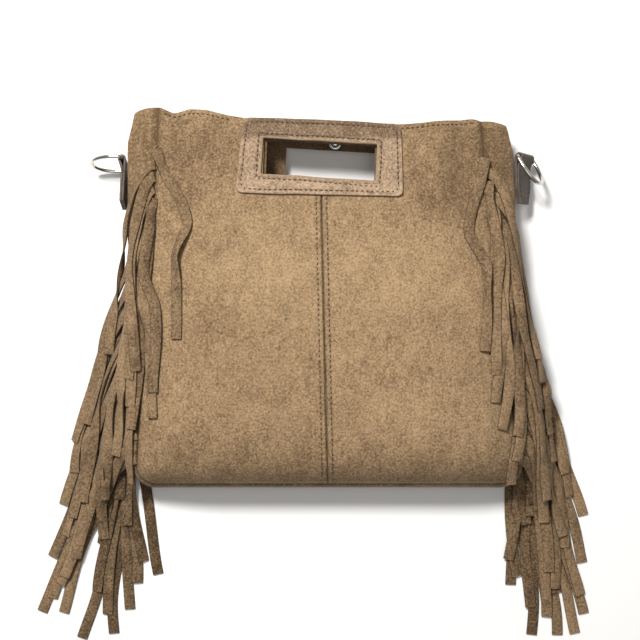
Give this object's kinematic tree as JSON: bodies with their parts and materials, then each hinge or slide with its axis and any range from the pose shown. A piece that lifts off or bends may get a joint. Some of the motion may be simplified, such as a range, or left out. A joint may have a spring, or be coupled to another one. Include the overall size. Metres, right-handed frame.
{
  "type": "fringed suede bag",
  "caption": "Soft suede handbag with a cut-out handle in each panel, strips of fringe down the side seams and a D-ring for a strap on each side.",
  "frame": {"origin": "middle of the back panel's flat rest face, on the surface that the bag lies on", "axes": "+X across the bag, +Y towards its mouth, +Z out of its front panel"},
  "size_m": [0.4153, 0.3774, 0.0542],
  "materials": {
    "suede": "taupe suede with a short mottled nap",
    "patch_suede": "taupe suede, stitched, edges left raw",
    "inner_suede": "brown suede inside the mouth",
    "fringe_suede": "brown suede strips, both faces napped",
    "tab_leather": "dark smooth leather, slightly shiny, edge stitched",
    "lining_cloth": "plain woven cotton",
    "nickel": "polished nickel"
  },
  "bodies": {
    "bag": {"front_panel_left": "suede", "front_panel_right": "suede", "back_panel": "suede", "base_panel": "suede", "gusset_left": "suede", "gusset_right": "suede", "front_handle_patch": "patch_suede", "back_handle_patch": "patch_suede", "front_facing": "inner_suede", "back_facing": "inner_suede", "lining_front": "lining_cloth", "lining_back": "lining_cloth", "snap_stud": "nickel", "snap_socket": "nickel", "snap_washer_front": "nickel", "snap_washer_back": "nickel", "strap_tab_left": "tab_leather", "strap_tab_right": "tab_leather", "fringe_front_left": "fringe_suede", "fringe_front_right": "fringe_suede", "fringe_back_left": "fringe_suede", "fringe_back_right": "fringe_suede"},
    "left_ring": {"d_ring_left": "nickel"},
    "right_ring": {"d_ring_right": "nickel"}
  },
  "joints": [
    {"name": "left_ring_swing", "type": "hinge", "parent": "bag", "child": "left_ring", "pos_m": [-0.1502, 0.146, 0.0155], "axis": [0, 0.3401, 0.9404], "range_deg": [-80, 75]},
    {"name": "right_ring_swing", "type": "hinge", "parent": "bag", "child": "right_ring", "pos_m": [0.1485, 0.15, 0.019], "axis": [-0.6, 0, 0.8], "range_deg": [-12, 125]}
  ]
}
